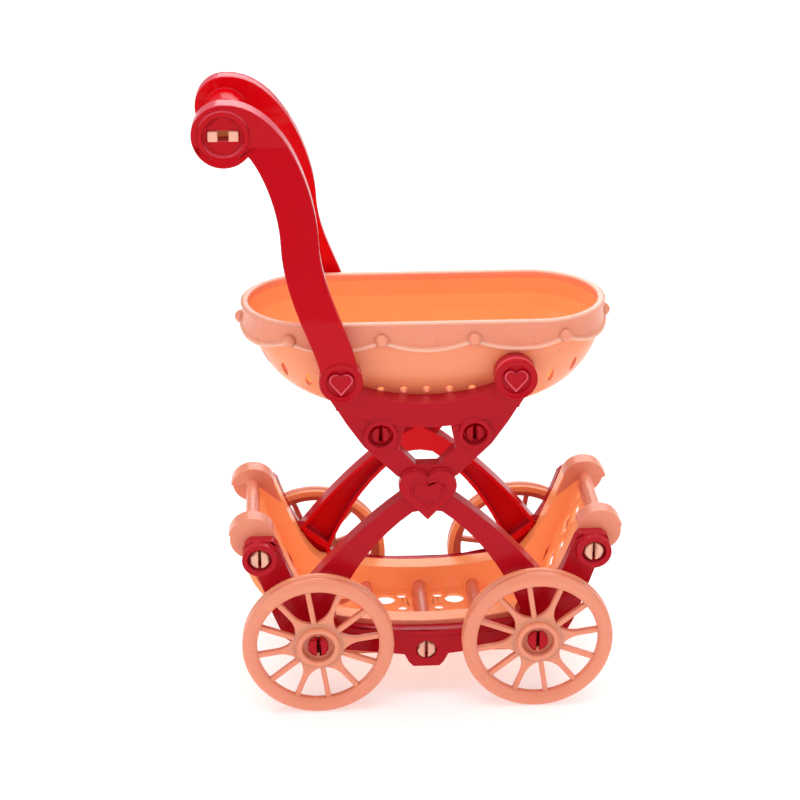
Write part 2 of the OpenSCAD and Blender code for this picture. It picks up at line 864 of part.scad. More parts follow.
// The arm's lean, seen from the front: upright beside the basket, then inwards to the grip
module arm_lean() {
    top_out = grip_w / 2;
    top_in = top_out - arm_top_t;
    high = grip_z + arm_head_d;
    low = knob_z - knob_d;
    polygon([
        [-arm_out, low], [-arm_out, arm_bend_low], [-top_out, arm_bend_high], [-top_out, high],
        [-top_in, high], [-top_in, arm_bend_high], [-arm_in, arm_bend_low - 2], [-arm_in, low]
    ]);
}

module handle_arm_shape() {
    head_face = grip_w / 2 + head_ring_proud;
    inner = grip_w / 2 - arm_top_t;
    bore_d = grip_d + 2 * run_fit;
    difference() {
        union() {
            intersection() {
                plate(arm_out + through, arm_out)
                    arm_outline();
                translate([-2 * grip_back, 0, 0])
                    rotate([90, 0, 90])
                        linear_extrude(4 * grip_back)
                            arm_lean();
            }
            bar(grip[0], grip[1], head_face - 2 * head_ring_proud, head_face, head_ring_d);
            bar(grip[0], grip[1], side_gap, inner + through, bore_d + 2 * sleeve_wall);
        }
        bar(grip[0], grip[1], 0, inner + seat_gap, bore_d);
        bar(grip[0], grip[1], head_face - head_recess, head_face + through, head_ring_d - 2 * head_ring_wall);
        translate([grip[0] - window_w / 2, -head_face - through, grip[1] - window_h / 2])
            cube([window_w, head_face + through, window_h]);
    }
    knob_relief(pivot[0], pivot[1], arm_out);
    pivot_peg(pivot[0], pivot[1]);
}

module handle_bar() {
    inner = grip_w / 2 - arm_top_t;
    tongue_w = (window_w - tongue_gap) / 2 - run_fit;
    tongue_h = window_h - 2 * run_fit;
    color(PEACH)
        both_sides() {
            bar(grip[0], grip[1], 0, inner, grip_d);
            for (start = [-window_w / 2 + run_fit, tongue_gap / 2])
                translate([grip[0] + start, -grip_w / 2 - 0.2, grip[1] - tongue_h / 2])
                    cube([tongue_w, arm_top_t + 1.2, tongue_h]);
        }
}

// ---------------------------------------------------------------- wheels

module wheel_rim() {
    r = wheel_d / 2;
    inner = r - rim_depth;
    mid = wheel_w / 2;
    rotate_extrude($fn = 128)
        polygon([
            [r - rim_wall, 0], [r - 0.5, 0], [r, 0.5],
            [r, mid - 1], [r - tread_groove, mid - 0.6], [r - tread_groove, mid - 0.2], [r, mid + 0.2],
            [r, wheel_w - 1.4], [r - 0.6, wheel_w - 0.5], [r - 1.8, wheel_w],
            [inner + 1.8, wheel_w], [inner + 0.6, wheel_w - 0.5], [inner, wheel_w - 1.4],
            [inner, spoke_in], [r - rim_wall, spoke_in]
        ]);
}

module spokes() {
    reach = wheel_d / 2 - rim_depth + 0.6;
    half = spoke_t / 2;
    skirt = skirt_d / 2 - 1;
    linear_extrude(spoke_w)
        for (k = [0:spoke_pairs - 1]) {
            rotate(39 + 360 * k / spoke_pairs)
                polygon([[skirt, -half], [reach, -half], [reach, half], [skirt, half]]);
            rotate(9 + 360 * k / spoke_pairs)
                polygon(concat(
                    [for (f = flare) [skirt + f[0], -half - f[1]]],
                    [[reach, -half], [reach, half]],
                    [for (f = turned_over(flare)) [skirt + f[0], half + f[1]]]
                ));
        }
}

module wheel(end, side) {
    hub_len = wheel_w + hub_proud;
    color(PEACH)
        translate([end * axle_x, side * wheel_in, axle_z])
            rotate([-90 * side, 0, 0])
                difference() {
                    union() {
                        wheel_rim();
                        translate([0, 0, spoke_in]) {
                            spokes();
                            cylinder(d = skirt_d, h = spoke_w);
                        }
                        cylinder(d = hub_d, h = hub_len);
                    }
                    translate([0, 0, hub_len - hub_recess])
                        cylinder(d = hub_d - 2 * hub_wall, h = hub_recess + through);
                    translate([0, 0, -through])
                        cylinder(d = axle_d + 2 * run_fit, h = hub_len + through);
                }
}

module left() {
    mirror([0, 1, 0])
        children();
}

// Centres the whole length on the origin, from the handle's heads to the caps of the front scrolls
module placed() {
    cap_reach = sqrt(scroll_r * scroll_r - cap_drop * cap_drop);
    translate([(grip_back + arm_head_d / 2 - scroll_x - cap_reach) / 2, 0, 0])
        children();
}

placed() basket();
placed() tray();
placed() color(CRIMSON) left() side_frame_shape();  // side_frame_left
placed() color(CRIMSON) side_frame_shape();  // side_frame_right
placed() cross_brace(1);  // cross_brace_front
placed() cross_brace(-1);  // cross_brace_rear
placed() color(CRIMSON) left() heart_knob_shape();  // heart_knob_left
placed() color(CRIMSON) heart_knob_shape();  // heart_knob_right
placed() color(CRIMSON) left() handle_arm_shape();  // handle_arm_left
placed() color(CRIMSON) handle_arm_shape();  // handle_arm_right
placed() handle_bar();
placed() wheel(1, 1);  // wheel_front_left
placed() wheel(1, -1);  // wheel_front_right
placed() wheel(-1, 1);  // wheel_rear_left
placed() wheel(-1, -1);  // wheel_rear_right
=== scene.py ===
import json
import math

import bmesh
import bpy
import numpy as np
from mathutils import Matrix, Vector
from mathutils.bvhtree import BVHTree

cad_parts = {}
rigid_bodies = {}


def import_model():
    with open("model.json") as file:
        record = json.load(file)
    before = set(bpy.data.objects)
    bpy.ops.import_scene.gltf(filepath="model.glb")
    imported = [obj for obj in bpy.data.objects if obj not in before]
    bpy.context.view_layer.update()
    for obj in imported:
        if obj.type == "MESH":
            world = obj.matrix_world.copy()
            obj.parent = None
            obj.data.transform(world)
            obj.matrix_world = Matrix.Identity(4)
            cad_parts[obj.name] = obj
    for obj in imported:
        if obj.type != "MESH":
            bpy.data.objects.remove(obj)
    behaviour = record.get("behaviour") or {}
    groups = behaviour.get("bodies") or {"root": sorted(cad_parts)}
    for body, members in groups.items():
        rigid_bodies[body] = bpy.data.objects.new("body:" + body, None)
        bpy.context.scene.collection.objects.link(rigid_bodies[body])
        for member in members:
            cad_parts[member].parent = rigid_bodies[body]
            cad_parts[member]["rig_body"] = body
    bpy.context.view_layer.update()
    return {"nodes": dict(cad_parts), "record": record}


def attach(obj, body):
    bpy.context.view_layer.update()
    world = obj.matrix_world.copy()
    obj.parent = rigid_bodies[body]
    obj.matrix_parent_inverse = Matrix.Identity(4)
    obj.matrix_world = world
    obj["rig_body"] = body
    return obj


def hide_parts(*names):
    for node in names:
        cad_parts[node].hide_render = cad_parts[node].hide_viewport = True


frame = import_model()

MM = 0.001

# ---------------------------------------------------------------- camera, light and floor

CAMERA_AT = Vector((-0.0389, -0.6394, 0.3869))
CAMERA_LOOKS_AT = Vector((-0.0042, 0.0, 0.1018))
CAMERA_LENS = 91.7
SENSOR_WIDTH = 36
WORLD_STRENGTH = 0.3
# name, place and aim in metres, size in metres, power in watts
SOFTBOXES = [
    ("softbox_above", (-0.1, 0.25, 1.7), (0, 0.25, 0), (1.8, 1.8), 26),
    ("softbox_left", (-0.95, -0.75, 0.55), (0, 0, 0.1), (0.8, 0.8), 4.2),
    ("softbox_right", (0.9, -0.9, 0.6), (0, 0, 0.1), (0.8, 0.8), 4.2),
    ("softbox_behind", (0.3, 1.1, 0.7), (0, 0, 0.1), (1.2, 0.6), 6),
]
FLOOR_GREY = 0.7
FLOOR_GLOW = 0.45


def set_camera():
    data = bpy.data.cameras.new("camera")
    data.lens = CAMERA_LENS
    data.sensor_width = SENSOR_WIDTH
    data.clip_start = 0.01
    camera = bpy.data.objects.new("camera", data)
    bpy.context.scene.collection.objects.link(camera)
    camera.location = CAMERA_AT
    camera.rotation_euler = (CAMERA_LOOKS_AT - CAMERA_AT).to_track_quat("-Z", "Y").to_euler()
    bpy.context.scene.camera = camera


def area_light(name, place, aim, size, power):
    data = bpy.data.lights.new(name, "AREA")
    data.shape = "RECTANGLE"
    data.size, data.size_y = size
    data.energy = power
    light = bpy.data.objects.new(name, data)
    bpy.context.scene.collection.objects.link(light)
    light.location = place
    light.rotation_euler = (Vector(aim) - Vector(place)).to_track_quat("-Z", "Y").to_euler()


def set_lights():
    world = bpy.data.worlds.new("studio")
    bpy.context.scene.world = world
    world.use_nodes = True
    background = world.node_tree.nodes["Background"]
    background.inputs["Color"].default_value = (1, 1, 1, 1)
    background.inputs["Strength"].default_value = WORLD_STRENGTH
    for softbox in SOFTBOXES:
        area_light(*softbox)


def make_floor():
    bm = bmesh.new()
    bmesh.ops.create_grid(bm, x_segments=1, y_segments=1, size=3)
    floor = mesh_object("floor", bm)
    material = bpy.data.materials.new("floor_paper")
    material.use_nodes = True
    shader = material.node_tree.nodes["Principled BSDF"]
    shader.inputs["Base Color"].default_value = (FLOOR_GREY, FLOOR_GREY, FLOOR_GREY, 1)
    shader.inputs["Emission Color"].default_value = (1, 1, 1, 1)
    shader.inputs["Emission Strength"].default_value = FLOOR_GLOW
    shader.inputs["Roughness"].default_value = 0.9
    shader.inputs["Specular IOR Level"].default_value = 0.1
    floor.data.materials.append(material)


# ---------------------------------------------------------------- node trees

class Wire:
    """An output socket. Python's operators on it add Math nodes."""

    def __init__(self, graph, socket):
        self.graph = graph
        self.socket = socket

    def math(self, operation, *values):
        inputs = dict(enumerate(values))
        return self.graph.wire("ShaderNodeMath", {"operation": operation}, inputs)

    def __add__(self, other):
        return self.math("ADD", self, other)

    def __sub__(self, other):
        return self.math("SUBTRACT", self, other)

    def __rsub__(self, other):
        return self.math("SUBTRACT", other, self)

    def __mul__(self, other):
        return self.math("MULTIPLY", self, other)

    __radd__ = __add__
    __rmul__ = __mul__

    def between(self, low, high):
        """0 below low, 1 above high, smooth in between."""
        inputs = {"Value": self, "From Min": low, "From Max": high}
        settings = {"interpolation_type": "SMOOTHSTEP"}
        return self.graph.wire("ShaderNodeMapRange", settings, inputs)


class Graph:
    """Adds nodes to a tree: the kind, its settings, then a value or a link for each input."""

    def __init__(self, tree):
        self.tree = tree

    def node(self, kind, settings=None, inputs=None):
        made = self.tree.nodes.new(kind)
        for key, value in (settings or {}).items():
            setattr(made, key, value)
        for key, value in (inputs or {}).items():
            value = value.socket if isinstance(value, Wire) else value
            if isinstance(value, bpy.types.NodeSocket):
                self.tree.links.new(value, made.inputs[key])
            else:
                made.inputs[key].default_value = value
        return made

    def wire(self, kind, settings=None, inputs=None, output=0):
        return Wire(self, self.node(kind, settings, inputs).outputs[output])

    def mixed(self, share, first, second):
        """A colour between two colours."""
        made = self.node("ShaderNodeMix", {"data_type": "RGBA"}, {0: share, 6: first, 7: second})
        return Wire(self, made.outputs[2])


# ---------------------------------------------------------------- plastics

DRIFT_SCALE = 45.0
SMEAR_SCALE = 90.0
PORE_SCALE = 2600.0
PORE_DEPTH = 0.02
SCATTER_COLOUR = (1.0, 0.32, 0.1)
SCATTER_DEPTH = 2.5


def plastic(name, colour, painted_glow_and_drift, painted_highlight, roughness, shine, scatter, glow):
    """Moulded plastic with light painted into its colour: the painted shade-and-glow colour, which also
    shines as a painted glow, where warmth is 1, and the paler painted highlight colour where it is -1.
    """
    material = bpy.data.materials.new(name)
    material.use_nodes = True
    graph = Graph(material.node_tree)
    shader = material.node_tree.nodes["Principled BSDF"]
    place = graph.wire("ShaderNodeTexCoord", None, None, "Object")
    warmth = graph.wire("ShaderNodeAttribute", {"attribute_name": "warmth"}, None, "Fac")
    drift = graph.wire("ShaderNodeTexNoise", None, {"Vector": place, "Scale": DRIFT_SCALE, "Detail": 3.0})
    pores = graph.wire("ShaderNodeTexNoise", None, {"Vector": place, "Scale": PORE_SCALE, "Detail": 2.0})
    smears = graph.wire("ShaderNodeTexNoise", None, {"Vector": place, "Scale": SMEAR_SCALE, "Detail": 2.0})
    # painted shade and glow: the colour goes towards the glow colour where warmth is above 0, and a little
    # towards it at random by the drift
    glowed_and_drifted = graph.mixed(warmth.between(0, 1) + drift.between(0.4, 0.75) * 0.06, (*colour, 1), (*painted_glow_and_drift, 1))
    # painted highlight: paler where warmth is below 0
    base = graph.mixed((warmth * -1.0).between(0, 1), glowed_and_drifted, (*painted_highlight, 1))
    link = material.node_tree.links.new
    link(base.socket, shader.inputs["Base Color"])
    # painted glow: the plastic shines with the glow colour where warmth is over 0.4, though it is no lamp
    lit = graph.mixed(warmth.between(0.4, 1.2), (0, 0, 0, 1), (*painted_glow_and_drift, 1))
    link(lit.socket, shader.inputs["Emission Color"])
    shader.inputs["Emission Strength"].default_value = glow
    link((smears.between(0.3, 0.75) * 0.06 + (roughness - 0.03)).socket, shader.inputs["Roughness"])
    bump = graph.wire("ShaderNodeBump", None,
                      {"Height": pores, "Strength": 0.15, "Distance": PORE_DEPTH * MM})
    link(bump.socket, shader.inputs["Normal"])
    shader.inputs["Specular IOR Level"].default_value = shine
    shader.inputs["Subsurface Weight"].default_value = scatter
    shader.inputs["Subsurface Radius"].default_value = SCATTER_COLOUR
    shader.inputs["Subsurface Scale"].default_value = SCATTER_DEPTH * MM
    return material


def make_plastics():
    # each plastic: its own colour, the painted shade-and-glow colour, the painted highlight colour,
    # roughness, shine, scatter and painted glow strength
    return {
        "peach": plastic("peach_plastic", (0.83, 0.29, 0.18), (0.95, 0.35, 0.13), (0.95, 0.5, 0.37),
                         0.3, 0.4, 0.3, 0.3),
        "crimson": plastic("crimson_plastic", (0.46, 0.003, 0.012), (0.58, 0.0, 0.004),
                           (0.78, 0.09, 0.13), 0.25, 0.14, 0.0, 0.2),
    }


# ---------------------------------------------------------------- mesh helpers

def mesh_object(name, bm):
    mesh = bpy.data.meshes.new(name)
    bm.to_mesh(mesh)
    bm.free()
    made = bpy.data.objects.new(name, mesh)
    bpy.context.scene.collection.objects.link(made)
    return made


def applied(piece):
    """The piece with its modifiers made into plain mesh."""
    bpy.context.view_layer.update()
    seen = piece.evaluated_get(bpy.context.evaluated_depsgraph_get())
    mesh = bpy.data.meshes.new_from_object(seen)
    piece.modifiers.clear()
    piece.data = mesh
    return piece


def smoothed(piece, angle=38):
    for face in piece.data.polygons:
        face.use_smooth = True
    piece.data.set_sharp_from_angle(angle=math.radians(angle))
    return piece


def softened(piece, radius, segments=3, angle=34):
    """Rounds the edges of a piece and keeps its flats flat."""
    smoothed(piece, 60)
    surface = BVHTree.FromPolygons([v.co for v in piece.data.vertices],
                                   [list(face.vertices) for face in piece.data.polygons])
    bevel = piece.modifiers.new("edges", "BEVEL")
    bevel.width = radius * MM
    bevel.segments = segments
    bevel.limit_method = "ANGLE"
    bevel.angle_limit = math.radians(angle)
    bevel.use_clamp_overlap = False
    applied(piece)
    for vertex in piece.data.vertices:
        near, _, _, distance = surface.find_nearest(vertex.co)
        if distance > 0.5 * radius * MM:
            vertex.co = near
    flats = piece.modifiers.new("flats", "WEIGHTED_NORMAL")
    flats.weight = 100
    return applied(piece)


def removed(piece):
    mesh = piece.data
    bpy.data.objects.remove(piece)
    bpy.data.meshes.remove(mesh)


def joined(name, pieces):
    """One object from several, each placed as it stands."""
    bm = bmesh.new()
    for piece in pieces:
        piece.data.transform(piece.matrix_world)
        bm.from_mesh(piece.data)
        removed(piece)
    return mesh_object(name, bm)


def turned(name, profile, steps=96):
    """A body of revolution about Z from a closed profile of (radius, height) in mm."""
    angles = np.linspace(0, 2 * math.pi, steps, endpoint=False)
    rows = [np.stack([r * np.cos(angles), r * np.sin(angles), z + 0 * angles], 1) for r, z in profile]
    return woven(name, rows, closed=True)


def woven(name, rows, closed=False):
    """A skin over rows of points in mm, each row running round the shape; capped unless closed."""
    bm = bmesh.new()
    grid = [[bm.verts.new(point * MM) for point in row] for row in rows]
    count = len(grid[0])
    for k in range(len(grid) if closed else len(grid) - 1):
        low, high = grid[k], grid[(k + 1) % len(grid)]
        for j in range(count):
            i = (j + 1) % count
            bm.faces.new((low[j], low[i], high[i], high[j]))
    if not closed:
        bm.faces.new(grid[0][::-1])
        bm.faces.new(grid[-1])
    return mesh_object(name, bm)


def prism(name, outline, low, high):
    """A flat outline in XY (mm, counter-clockwise) given height."""
    rows = [np.array([(x, y, z) for x, y in outline], float) for z in (low, high)]
    return woven(name, rows)


def with_painted_light(piece, warmth):
    """Stores the painted light of each face, given for each point or once: 1 is painted shade and glow, -1
    is painted highlight.
    """
    mesh = piece.data
    values = np.broadcast_to(warmth, len(mesh.vertices))
    return faces_with_painted_light(piece, [values[list(face.vertices)].mean() for face in mesh.polygons])


def faces_with_painted_light(piece, values):
    layer = piece.data.attributes.new("warmth", "FLOAT", "FACE")
    layer.data.foreach_set("value", np.array(values, np.float32))
    return piece


def stands_for(piece, node):
    """The piece takes over the node's body and the plastic of the node's slot, and the node is hidden."""
    slots = {s["node"]: s["material_slot"] for s in frame["record"]["subparts"]}
    piece.data.materials.clear()
    piece.data.materials.append(PLASTICS[slots[node]])
    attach(piece, frame["nodes"][node]["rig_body"])
    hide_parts(node)


def moulded(node, radius, segments=3, angle=34, dress=None):
    """A copy of a CAD node with its flats joined up and its edges rounded."""
    bm = bmesh.new()
    bm.from_mesh(frame["nodes"][node].data)
    bmesh.ops.remove_doubles(bm, verts=bm.verts, dist=0.003 * MM)
    if dress:
        dress(bm)
    bmesh.ops.join_triangles(bm, faces=bm.faces[:], angle_face_threshold=0.01, angle_shape_threshold=3.1)
    return softened(mesh_object(node + "_moulding", bm), radius, segments, angle)


# ---------------------------------------------------------------- repeats

def repeat_tree():
    """Geometry nodes that set a piece on every point, turned by the point's turn attribute."""
    tree = bpy.data.node_groups.new("repeat_on_points", "GeometryNodeTree")
    sockets = (("Points", "INPUT", "Geometry"), ("Piece", "INPUT", "Object"),
               ("Plastic", "INPUT", "Material"), ("Geometry", "OUTPUT", "Geometry"))
    for name, way, kind in sockets:
        tree.interface.new_socket(name, in_out=way, socket_type="NodeSocket" + kind)
    graph = Graph(tree)
    given = graph.node("NodeGroupInput").outputs
    piece = graph.wire("GeometryNodeObjectInfo", None, {"Object": given["Piece"]}, "Geometry")
    turn = graph.wire("GeometryNodeInputNamedAttribute", {"data_type": "FLOAT_VECTOR"}, {"Name": "turn"})
    spin = graph.wire("FunctionNodeEulerToRotation", None, {"Euler": turn})
    placed = graph.wire("GeometryNodeInstanceOnPoints", None,
                        {"Points": given["Points"], "Instance": piece, "Rotation": spin})
    solid = graph.wire("GeometryNodeRealizeInstances", None, {"Geometry": placed})
    painted = graph.wire("GeometryNodeSetMaterial", None,
                         {"Geometry": solid, "Material": given["Plastic"]})
    graph.node("NodeGroupOutput", None, {"Geometry": painted})
    return tree


def repeated(name, piece, places, turns, slot):
    """The piece at every place (mm) and turn (radians about X, Y, Z), as one plain mesh."""
    mesh = bpy.data.meshes.new(name)
    mesh.from_pydata([Vector(place) * MM for place in places], [], [])
    layer = mesh.attributes.new("turn", "FLOAT_VECTOR", "POINT")
    layer.data.foreach_set("vector", np.array(turns, np.float32).ravel())
    made = bpy.data.objects.new(name, mesh)
    bpy.context.scene.collection.objects.link(made)
    modifier = made.modifiers.new("repeat", "NODES")
    modifier.node_group = REPEAT
    keys = {item.name: item.identifier for item in REPEAT.interface.items_tree}
    modifier[keys["Piece"]] = piece
    modifier[keys["Plastic"]] = PLASTICS[slot]
    applied(made)
    removed(piece)
    return made


# ---------------------------------------------------------------- wheels

FRAME_SHIFT = 3.613
AXLE_X = 37.75
AXLE_Z = 26.0
WHEEL_IN = 30.8
RIM = [
    (24, 0), (25.5, 0), (25.9, 0.15), (26, 0.5), (26, 2), (25.75, 2.3), (25.5, 2.5), (25.5, 2.7),
    (25.75, 2.9), (26, 3.2), (26, 4.5), (25.85, 4.95), (25.5, 5.35), (24.9, 5.7), (24.1, 5.93),
    (23.3, 5.98), (22.5, 5.88), (21.8, 5.6), (21.3, 5.2), (21, 4.8), (20.9, 4.4), (20.9, 2.9),
    (21.1, 2.6), (24, 2.6)
]
HUB = [
    (3.15, 0), (6.9, 0), (7.2, 0.3), (7.2, 6.05), (7.1, 6.3), (6.85, 6.4), (5.95, 6.4), (5.7, 6.3),
    (5.6, 6.05), (5.6, 3.8), (3.15, 3.8)
]
SKIRT = [(6, 2.6), (8.6, 2.6), (9, 3), (9, 4.2), (8.8, 4.6), (8.4, 4.75), (6, 4.75)]
SPOKE_PAIRS = 6


def turned_by(points, degrees):
    a = math.radians(degrees)
    return [(x * math.cos(a) - y * math.sin(a), x * math.sin(a) + y * math.cos(a)) for x, y in points]


def spoke_pair():
    half, root, reach = 0.9, 8.0, 21.3
    plain = [(root, -half), (reach, -half), (reach, half), (root, half)]
    flare = [(0, 2.9), (0.8, 2.0), (1.6, 1.4), (2.5, 0.85), (3.4, 0.5), (4.5, 0.18), (5.8, 0)]
    under = [(root + x, -half - w) for x, w in flare]
    flared = under + [(reach, -half), (reach, half)] + [(x, -y) for x, y in reversed(under)]
    pieces = [prism("spoke", turned_by(outline, at), 2.6, 4.8)
              for outline, at in ((plain, 39), (flared, 9))]
    return joined("spoke_pair", [softened(piece, 0.45) for piece in pieces])


def wheel_shape():
    rim = smoothed(turned("rim", RIM, 160), 50)
    hub = smoothed(turned("hub", HUB, 72), 50)
    skirt = smoothed(turned("skirt", SKIRT, 72), 50)
    turns = [(0, 0, 2 * math.pi * k / SPOKE_PAIRS) for k in range(SPOKE_PAIRS)]
    spokes = repeated("spokes", spoke_pair(), [(0, 0, 0)] * SPOKE_PAIRS, turns, "peach")
    return joined("wheel", [rim, hub, skirt, spokes])


def make_wheels():
    for end, side in ((e, s) for e in ("front", "rear") for s in ("left", "right")):
        way = 1 if side == "left" else -1
        x = FRAME_SHIFT + (AXLE_X if end == "front" else -AXLE_X)
        wheel = wheel_shape()
        # painted shade and glow on each wheel's inner side, fading out over its first 2 mm
        with_painted_light(wheel, np.clip(1 - points_of(wheel)[:, 2] / 2, 0, 0.8))
        wheel.data.transform(Matrix.Translation(Vector((x, way * WHEEL_IN, AXLE_Z)) * MM)
                             @ Matrix.Rotation(-way * math.pi / 2, 4, "X"))
        stands_for(wheel, "wheel_%s_%s" % (end, side))


# ---------------------------------------------------------------- basket

BASKET_L = 61.7
BASKET_W = 25.2
STRAIGHT = BASKET_L - BASKET_W
BEADS = 10
BEAD_Z = 134.0
SWAG_TOP = 133.6
SWAG_DROP = 3.2
# height, inset of the rear end and of the front end, inset of the half width, and tilt of the wall
BOWL = [
    (126, 5.2, 2.8, 1.9, 20), (121.5, 7.4, 4.8, 2.8, 30), (117.8, 9.8, 7, 3.9, 40),
    (113.4, 13.8, 10.8, 5.8, 45), (109.7, 19, 15.8, 8.2, 52), (106, 27, 23, 11.6, 65),
    (103.7, 35, 31, 15.5, 80), (103, 40, 37, 18.6, 90)
]
BASKET_WALL = 1.6
BEAD_RADIUS = 2.3
# where each end slot goes through: distance from the middle, from the centre line, and height
END_SLOTS = [(54.0, 8.5, 122.5), (48.2, 16.5, 121.0), (40.2, 20.2, 118.5)]
SIDE_SLOTS = 7
SIDE_SLOT_PITCH = 7.6
CLIP_X = 15.7
CLIP_Y = 10
CLIP_Z = 101


def rim_columns(per_side=80, per_end=72):
    """Round the rim from one end of the right side: share of the straight, normal, distance."""
    side = np.linspace(-1, 1, per_side, endpoint=False)
    turn = np.linspace(-math.pi / 2, math.pi / 2, per_end, endpoint=False)
    flat, end = 0 * side, np.ones(per_end)
    share = np.concatenate([side, end, -side, -end])
    nx = np.concatenate([flat, np.cos(turn), flat, -np.cos(turn)])
    ny = np.concatenate([flat - 1, np.sin(turn), flat + 1, -np.sin(turn)])
    half = np.concatenate([STRAIGHT * (side + 1), 2 * STRAIGHT + BASKET_W * (turn + math.pi / 2)])
    distance = np.concatenate([half, half + 2 * STRAIGHT + math.pi * BASKET_W])
    return share, nx, ny, distance


def rim_row(columns, rear, front, width, z):
    """A row round the basket, in from the rim by the rear, front and width insets."""
    share, nx, ny, distance = columns
    wide = BASKET_W - width
    half = BASKET_L - (rear + front) / 2 - wide
    x = share * half + wide * nx + FRAME_SHIFT + (rear - front) / 2
    return np.stack([x, wide * ny, z + 0 * distance], 1)


def chaikin(points, rounds=2):
    """Corners cut so that a coarse profile runs smoothly."""
    for _ in range(rounds):
        cut = [points[0]]
        for a, b in zip(points[:-1], points[1:]):
            cut += [0.75 * a + 0.25 * b, 0.25 * a + 0.75 * b]
        points = cut + [points[-1]]
    return points


def bead_phase(distance):
    pitch = (4 * STRAIGHT + 2 * math.pi * BASKET_W) / BEADS
    return ((distance - STRAIGHT) / pitch - 0.5) % 1


def bowl_levels(wall):
    """Levels of the bowl from the bottom up, as rear, front and width insets and height."""
    levels = []
    for z, rear, front, width, tilt in reversed(BOWL):
        tuck = wall * math.cos(math.radians(tilt))
        lift = wall * math.sin(math.radians(tilt))
        levels.append(np.array((rear + tuck, front + tuck, width + tuck, z + lift)))
    return [tuple(level) for level in chaikin(levels)]


def even(inset, z, warmth):
    return inset, inset, inset, z, warmth


def basket_rows(columns):
    """Rows from the underside up the outside, over the lip and down the inside, with their painted light:
    painted shade below the band, painted highlights on the cord and the lip, painted shade and glow inside.
    """
    swag = bead_phase(columns[3])
    edge = SWAG_TOP - SWAG_DROP * 4 * swag * (1 - swag)
    # painted shade on the bowl's outside below the band
    rows = [level + (0.45,) for level in bowl_levels(0)]
    for k in (0.35, 0.7, 1):
        rows.append((5.2 - 1.4 * k, 2.8 - 0.7 * k, 1.9 - 0.4 * k, 126 + k * (edge - 0.2 - 126), 0.45))
    rows.append((1.9, 1.5, 1.2, edge - 0.4, 0.4))
    # painted highlight on the cord along the swags
    for a in np.radians([-60, -35, -10, 15, 45, 75]):
        rows.append(even(0.3 - 0.65 * math.cos(a), edge + 0.6 * math.sin(a), -0.9))
    for k in np.linspace(0.04, 1, 7):
        rows.append(even(0.35 + 0.35 * math.sin(math.pi * k), edge + 0.65 + k * (138.9 - edge), 0))
    # painted highlight over the top of the lip, then painted shade going down the inside
    for a in np.radians([10, 30, 50, 70, 90]):
        rows.append(even(1.3 - math.cos(a), 139 + math.sin(a), -0.6))
    for inset, z, warmth in ((1.9, 140, -0.7), (2.3, 140, -0.8), (2.6, 139.9, -0.8), (2.85, 139.6, -0.6),
                             (2.98, 139.1, 0.2), (3.05, 137.5, 0.6)):
        rows.append(even(inset, z, warmth))
    # painted shade and glow inside the bowl
    rows.append((4.2, 3.6, 3.1, 132, 0.9))
    return rows + [level + (1,) for level in reversed(bowl_levels(BASKET_WALL))]


def basket_slots():
    """Cutters for the slots at the basket's ends and the small ovals along its sides."""
    cutters = []
    for sx in (-1, 1):
        for sy in (-1, 1):
            for x, y, z in END_SLOTS:
                cutters.append((sx * (x + sx), sy * y, z, 1.1, 3.2))
    for sy in (-1, 1):
        for k in range(SIDE_SLOTS):
            cutters.append((SIDE_SLOT_PITCH * (k - SIDE_SLOTS // 2), sy * 20, 114.3, 1.3, 1.5))
    return [slot_cutter(*cutter) for cutter in cutters]


def slot_cutter(x, y, z, half_w, half_l):
    """An oval bar that goes through the wall, square to it."""
    a = np.linspace(0, 2 * math.pi, 20, endpoint=False)
    outline = np.stack([half_w * np.cos(a), half_l * np.sin(a)], 1)
    cutter = prism("cutter", outline, -5, 5)
    centre = max(-STRAIGHT, min(STRAIGHT, x))
    out = Vector((x - centre, y, -9)).normalized()
    cutter.data.transform(Matrix.Translation(Vector((x + FRAME_SHIFT, y, z)) * MM)
                          @ out.to_track_quat("Z", "Y").to_matrix().to_4x4())
    return cutter


def beads():
    bm = bmesh.new()
    bmesh.ops.create_uvsphere(bm, u_segments=28, v_segments=18, radius=BEAD_RADIUS * MM)
    ball = smoothed(mesh_object("bead", bm))
    columns = rim_columns(400, 400)
    phase = bead_phase(columns[3])
    at = [k for k in range(len(phase)) if phase[k] < phase[k - 1]]
    places = rim_row(columns, 0.5, 0.5, 0.5, BEAD_Z)[at]
    return repeated("beads", ball, places.tolist(), np.zeros((len(at), 3)), "peach")


def brace_clips():
    """Four spring clips that grip the cross braces, their mouths downwards."""
    angles = np.radians(np.linspace(-50, 230, 41))
    outline = [(3.5 * math.cos(a), 3.5 * math.sin(a)) for a in angles]
    outline += [(2.05 * math.cos(a), 2.05 * math.sin(a)) for a in reversed(angles)]
    clip = softened(prism("clip", outline, -2.5, 2.5), 0.25)
    places = [(FRAME_SHIFT + sx * CLIP_X, sy * CLIP_Y, CLIP_Z) for sx in (-1, 1) for sy in (-1, 1)]
    return repeated("clips", clip, places, [(math.pi / 2, 0, 0)] * 4, "peach")


def make_basket():
    columns = rim_columns()
    rows = basket_rows(columns)
    bowl = woven("bowl", [rim_row(columns, *row[:4]) for row in rows])
    with_painted_light(bowl, np.repeat([row[4] for row in rows], len(columns[0])))
    slots = joined("slots", basket_slots())
    cut = bowl.modifiers.new("slots", "BOOLEAN")
    cut.object = slots
    cut.solver = "EXACT"
    applied(bowl)
    removed(slots)
    # painted highlight on the beads, painted shade on the clips under the basket
    parts = [smoothed(bowl, 50), with_painted_light(beads(), -0.2), with_painted_light(brace_clips(), 0.3)]
    basket = joined("basket_moulding", parts)
    stands_for(basket, "basket")


# ---------------------------------------------------------------- knobs, arms and grip

